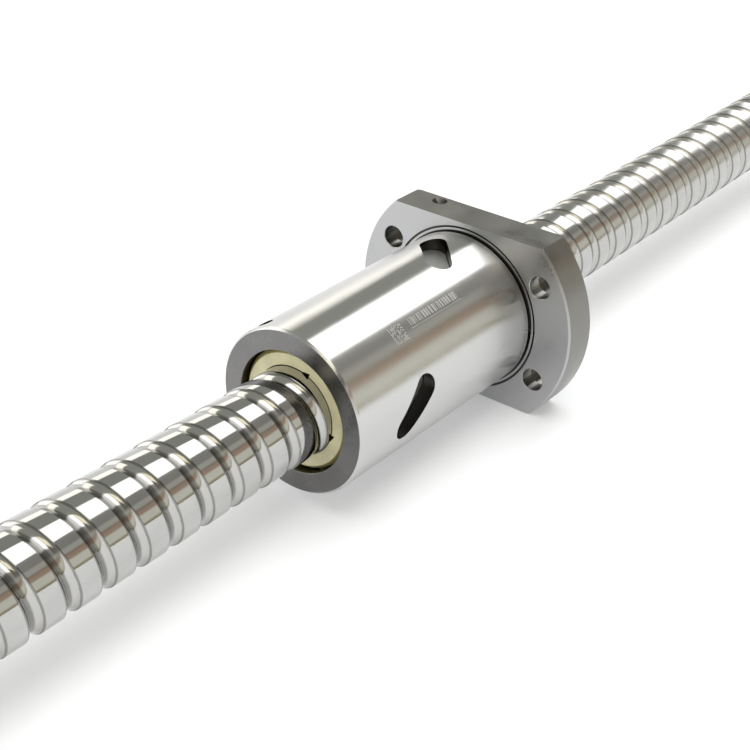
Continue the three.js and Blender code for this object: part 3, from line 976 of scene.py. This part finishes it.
def build_nut(places):
    nut = nut_blank()
    for side in (-1, 1):
        subtract(nut, flat_cutter(side))
    slot = obround_outline(SLOT_LENGTH, SLOT_WIDTH)
    slots = [moved(prism(slot, 11, BODY_R + 3), slot_frame(place)) for place in places]
    subtract(nut, joined(slots))
    subtract(nut, joined([bolt_hole_cutter(degrees) for degrees in BOLT_ANGLES]))
    subtract(nut, joined(small_holes()))
    subtract(nut, joined([channel(place, CHANNEL_R) for place in places]))
    subtract(nut, raceway_cutter())
    shade(nut, 28, cylinders=(BODY_R, FLANGE_R))
    paint_nut(nut)
    nut.data.transform(Matrix.Scale(MM, 4))
    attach(nut, "nut")
    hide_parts("nut_body")


def paint_nut(nut):
    """Ground body, satin flange, dull end face, and bores and relief groove painted dark as shade: a
    material for each face.
    """
    mesh = nut.data
    mesh.materials.clear()
    steels = {
        "body": nut_steel, "flange": flange_steel, "rim": rim_steel,
        "face": face_steel, "bore": bore_painted_shade, "relief": relief_painted_shade,
    }
    for material in steels.values():
        mesh.materials.append(material)
    index = {name: k for k, name in enumerate(steels)}
    for poly in mesh.polygons:
        poly.material_index = index[nut_region(poly.center, poly.normal)]


def nut_region(c, n):
    """Which of the nut's surfaces a face with centre c and normal n belongs to."""
    r = math.hypot(c.y, c.z)
    outwards = (c.y * n.y + c.z * n.z) / max(r, 1e-6)
    in_relief = r < BODY_R - 0.05 or c.x > FLANGE_X + 0.12
    # The relief groove's neck and back wall are painted dark as shade.
    if abs(c.x - FLANGE_X) < 2.1 and BODY_R - 1 < r < BODY_R + 1.8 and in_relief:
        return "relief"
    if c.x < FLANGE_X - 0.05 and r > BODY_R - 1.3 and outwards > 0.6:
        return "body"
    if c.x < NUT_X0 + 1.0 and r > RECESS_R:
        return "face"
    if r > BODY_R - 2 and abs(n.x) > 0.5:
        return "flange"
    if r > FLAT_Z - 0.5 and (outwards > 0.5 or abs(n.z) > 0.9):
        return "rim"
    # The bores, slots and holes left over take the near-black steel, painted shade.
    return "flange" if c.x > NUT_X1 - 0.6 else "bore"


def relief_block(thin, deep, x):
    """A wedge-shaped cutter in a wiper's face, RELIEF_DEPTH to each side of x."""
    half_r = (RELIEF_THIN_R + RELIEF_DEEP_R) / 2
    corners = ((thin, 10), (thin, RELIEF_THIN_R), ((thin + deep) / 2, half_r),
               (deep, RELIEF_DEEP_R), (deep, 10))
    outline = [at_angle(a, r).yz for a, r in corners]
    stand = Matrix(((0, 0, 1, 0), (1, 0, 0, 0), (0, 1, 0, 0), (0, 0, 0, 1)))
    return moved(prism(outline, x - RELIEF_DEPTH, x + RELIEF_DEPTH), stand)


def build_wiper(node):
    """A nylon ring with a lip down in the screw's groove, and reliefs cut in its outer face."""
    low, high = box_mm(node)
    face, back, inward = (low.x, high.x, 1) if "front" in node else (high.x, low.x, -1)
    outline = [
        (face, 10.0), (face, WIPER_R - WIPER_BEVEL), (face + inward * WIPER_BEVEL, WIPER_R),
        (back, WIPER_R), (back, 10.0),
    ]
    section = filleted(outline, [0, 0.12, 0.2, 0.2, 0], 3)
    ring = object_from(node + "_ring", to_bmesh(revolved(section, 144)))
    lip = [
        (-5, WIPER_BORE_R), (-2.3, WIPER_BORE_R), (-1.75, 12.1), (-1.25, 11.4), (0, WIPER_LIP_R),
        (1.25, 11.4), (1.75, 12.1), (2.3, WIPER_BORE_R),
    ]
    subtract(ring, helical_solid(lip, 96, low.x - 1, high.x + 1))
    for thin, deep in RELIEFS:
        subtract(ring, relief_block(thin, deep, face))
    entry_end = face + inward * WIPER_ENTRY_DEPTH
    entry = [
        (face - inward, 0.5), (face - inward, WIPER_BORE_R + 0.04),
        (entry_end, WIPER_BORE_R + 0.02), (entry_end, 0.5),
    ]
    subtract(ring, to_bmesh(revolved(entry, 144)))
    shade(ring, cylinders=(WIPER_R,))
    make_piece(ring, "nut", (node,), (ivory, olive_edge_shade, recess_shade))
    # Faces in the reliefs, and the bore behind the face, take the near-black plastic as painted
    # shade.
    for poly in ring.data.polygons:
        r, tilt = math.hypot(*poly.center.yz) / MM, abs(poly.normal.x)
        behind = abs(poly.center.x / MM - face) > 0.5
        if r < RELIEF_DEEP_R + 0.1 and (behind or tilt < 0.9):
            poly.material_index = 2
        # The outer bevel takes the olive plastic as painted shade between the ring and the nut.
        if r > WIPER_R - 1.5 and 0.3 < tilt < 0.97:
            poly.material_index = 1


def build_set_screw(node, degrees, r, pitch, low_r, top_r, socket):
    """A socket set screw that points at the axis: rolled thread, chamfers, hexagon socket."""
    deep = 0.54 * pitch
    profile = [(-0.06 * pitch, r), (0.06 * pitch, r),
               (0.42 * pitch, r - deep), (0.58 * pitch, r - deep)]
    bm = helical_solid(profile, 40, low_r, top_r, deep * 0.9, lead=pitch, phase=0.0)
    obj = object_from(node + "_screw", bm)
    hexagon = circle_outline(socket / math.sqrt(3), 6)
    hole = prism(hexagon, top_r - 1.2 * r, top_r + 1)
    subtract(obj, moved(hole, Matrix.Rotation(math.pi / 2, 4, "Y")))
    # The thread runs along X as built, and is stood up at its place.
    stand = polar_frame(degrees, middle_x(node)) @ Matrix.Rotation(-math.pi / 2, 4, "Y")
    obj.data.transform(stand)
    make_piece(shade(obj, 30), "nut", (node,), (black_steel,))


def build_etched_mark():
    """A plain traceability mark: a dot square and a row of bars, with no lettering."""
    rng = np.random.default_rng(7)
    bm = bmesh.new()
    r = BODY_R + 0.012

    def patch(x0, x1, y0, y1, steps=2):
        """y runs down the nut's side from the mark's top edge, in millimetres."""
        rows = []
        for k in range(steps + 1):
            a = math.degrees((y0 + (y1 - y0) * k / steps) / BODY_R) + MARK_ANGLE
            rows.append([bm.verts.new(at_angle(a, r, x)) for x in (x0, x1)])
        for a, b in zip(rows, rows[1:]):
            bm.faces.new((a[0], a[1], b[1], b[0]))

    x = NUT_X0 + MARK_X
    cell, filled, last = 0.42, 0.86, 11
    for i in range(last + 1):
        for j in range(last + 1):
            solid_side = i == 0 or j == last
            dashed_side = (i == last and j % 2) or (j == 0 and i % 2 == 0)
            inside = 0 < i < last and 0 < j < last
            if solid_side or dashed_side or (inside and rng.random() < 0.5):
                patch(x + i * cell, x + (i + filled) * cell, j * cell, (j + filled) * cell)
    bar_x, bar_end = x + 8, x + 29
    while bar_x < bar_end - 1:
        width = float(rng.choice([0.25, 0.25, 0.5, 0.75]))
        patch(bar_x, bar_x + width, 0.2, 2.4, 4)
        bar_x += width + float(rng.choice([0.3, 0.3, 0.55]))
    patch(x + 7.5, bar_end, 2.95, 3.08)
    make_piece(object_from("etched_mark", bm), "nut", (), (etched_steel,))


places = deflector_places()
build_screw()
build_screw_ends()
build_retaining_ring()
build_nut(places)
for number, place in enumerate(places, 1):
    build_deflector(place, number)
    build_balls(place, number)
build_wiper("wiper_front")
build_wiper("wiper_rear")
for details in SET_SCREWS:
    build_set_screw(*details)
build_etched_mark()


# ---- floor, light and camera ------------------------------------------------------------------
def floor():
    """A plain pale sheet that the flange's lower flat stands on."""
    size, z = 8.0, -FLAT_Z * MM - 0.0002
    mesh = bpy.data.meshes.new("floor")
    mesh.from_pydata([(-size, -size, z), (size, -size, z), (size, size, z), (-size, size, z)],
                     [], [(0, 1, 2, 3)])
    obj = bpy.data.objects.new("floor", mesh)
    bpy.context.scene.collection.objects.link(obj)
    g = Graph("floor_paper")
    x, y, z = g.xyz()
    mottle = g.noise(g.vector(x, y, z), 3, 3.0)
    g.put(g.shader.inputs["Base Color"],
          g.ramp(mottle, [(0.0, (0.66, 0.67, 0.69)), (1.0, (0.68, 0.69, 0.71))]))
    # A sheet lit a little from behind, so shadows on it stay faint.
    g.shader.inputs["Emission Color"].default_value = (0.97, 0.98, 1.0, 1)
    g.shader.inputs["Emission Strength"].default_value = 0.3
    g.shader.inputs["Roughness"].default_value = 0.9
    mesh.materials.append(g.material)


# The studio is known by two numbers of a direction: an angle in degrees round a level axis that is
# STUDIO_TURN off the screw's, where 0 is the left horizon, 90 overhead and 180 the right horizon,
# and how far it points along the screw, as a sine. STUDIO gives its brightness by that angle.
STUDIO_TURN = math.radians(12.4)
STUDIO_PEAK = 3.0
WHITE = (2.6, 2.6, 2.55)
DARK = (0.39, 0.4, 0.355)
STUDIO = [
    (0, (1.1, 1.1, 1.1)), (24, (1.1, 1.1, 1.08)), (26, (2.2, 2.15, 1.95)),
    (41.5, (2.2, 2.15, 1.95)), (44, DARK), (78, DARK), (80, WHITE), (113.5, WHITE),
    (115.5, (0.42, 0.415, 0.38)), (122, (0.37, 0.365, 0.335)), (134, (0.35, 0.345, 0.315)),
    (137, (0.56, 0.555, 0.49)), (144.5, (0.56, 0.555, 0.49)), (147, (0.35, 0.295, 0.24)),
    (151.5, (0.5, 0.37, 0.27)), (157, (0.52, 0.4, 0.3)), (160, (0.87, 0.865, 0.75)),
    (174, (0.87, 0.865, 0.75)), (175.5, (0.46, 0.42, 0.27)), (180, (0.46, 0.42, 0.27)),
]
SOFTBOX_LEFT, SOFTBOX_RIGHT, OVERHEAD_RIGHT = 79, 115, 134
# Toward the near end the overhead softbox stops, and past a gap hangs a smaller warm lamp.
SOFTBOX_END = math.sin(math.radians(-30))
GAP = (0.2, 0.195, 0.17)
LAMP = (1.7, 1.6, 1.2)
LAMP_START, LAMP_END = math.sin(math.radians(-34)), math.sin(math.radians(-65))
LAMP_LEFT, LAMP_RIGHT = 76, 106
# The warm strip on the left stops there too, and a low white sheet begins nearer the middle.
LEFT_END, LEFT_TOP = math.sin(math.radians(-30)), 48
SHEET_START, SHEET_TOP = math.sin(math.radians(-12)), 20
# A second white sheet stands beyond the far end, behind this plane, with a dark edge.
FAR_SHEET = (-0.451, 0.752, 0.0894)
FAR_START, FAR_EDGE = -0.06, 0.12
END_CAP, END_CAP_COLOUR = 0.95, (0.4, 0.4, 0.37)
FILL_STRENGTH = 0.75


def scaled(colour):
    return tuple(c / STUDIO_PEAK for c in colour)


def studio_light():
    """The bands that the polished steel reflects, each laid over the one before it."""
    world = bpy.data.worlds.new("studio")
    bpy.context.scene.world = world
    world.use_nodes = True
    world.node_tree.nodes.clear()
    s = Nodes(world.node_tree)
    direction = s.nodes.new("ShaderNodeTexCoord").outputs["Generated"]
    side = s.dot(direction, (-math.sin(STUDIO_TURN), math.cos(STUDIO_TURN), 0))
    up = s.dot(direction, (0, 0, 1))
    along = s.dot(direction, (1, 0, 0))
    far = s.dot(direction, FAR_SHEET)
    angle = s.math("DEGREES", s.math("ARCTAN2", up, side))
    bands = [(degrees / 180, scaled(colour)) for degrees, colour in STUDIO]
    colour = s.ramp(s.math("DIVIDE", angle, 180.0), bands)
    past_left = s.above(angle, SOFTBOX_LEFT, 1)
    layers = (
        ((past_left, s.below(angle, OVERHEAD_RIGHT, 1), s.below(along, SOFTBOX_END)), GAP),
        ((s.above(angle, LAMP_LEFT, 1), s.below(angle, LAMP_RIGHT, 1),
          s.below(along, LAMP_START), s.above(along, LAMP_END)), LAMP),
        ((s.below(along, LEFT_END), s.below(angle, LEFT_TOP, 1)), DARK),
        ((s.below(along, SHEET_START), s.below(angle, SHEET_TOP, 1)), WHITE),
        ((s.below(angle, SOFTBOX_LEFT, 1), s.below(far, FAR_EDGE)), DARK),
        ((s.below(angle, SOFTBOX_RIGHT, 1), s.below(far, FAR_START)), WHITE),
        ((s.above(along, END_CAP),), END_CAP_COLOUR),
    )
    for limits, layer in layers:
        colour = s.mix(s.product(*limits), colour, (*scaled(layer), 1))
    background = s.nodes.new("ShaderNodeBackground")
    background.inputs["Strength"].default_value = STUDIO_PEAK
    s.put(background.inputs[0], colour)
    output = s.nodes.new("ShaderNodeOutputWorld")
    s.put(output.inputs[0], background.outputs[0])


def overhead_fill():
    """A wide soft light above that lifts the paper and dull parts; steel doesn't mirror it."""
    data = bpy.data.lights.new("overhead_fill", "SUN")
    data.energy, data.angle = FILL_STRENGTH, math.radians(60)
    obj = bpy.data.objects.new("overhead_fill", data)
    obj.visible_glossy = False
    bpy.context.scene.collection.objects.link(obj)


def camera():
    """Looks along the screw from the supported end, from above and its right-hand side."""
    heading, down, roll = (math.radians(a) for a in (37.92, 30.58, 1.16))
    from_nut = Vector((-230.77, -206.46, 194.0))
    data = bpy.data.cameras.new("camera")
    data.lens, data.sensor_width = 69.66, 36.0
    data.clip_start, data.clip_end = 0.01, 50
    obj = bpy.data.objects.new("camera", data)
    bpy.context.scene.collection.objects.link(obj)
    turn = Euler((math.pi / 2 - down, 0, heading - math.pi / 2)).to_matrix()
    turn = turn @ Matrix.Rotation(roll, 3, "Z")
    place = turn.to_4x4()
    place.translation = (Vector((NUT_X0, 0, 0)) + from_nut) * MM
    obj.matrix_world = place
    bpy.context.scene.camera = obj


floor()
studio_light()
overhead_fill()
camera()
bpy.context.scene.view_settings.view_transform = "Standard"
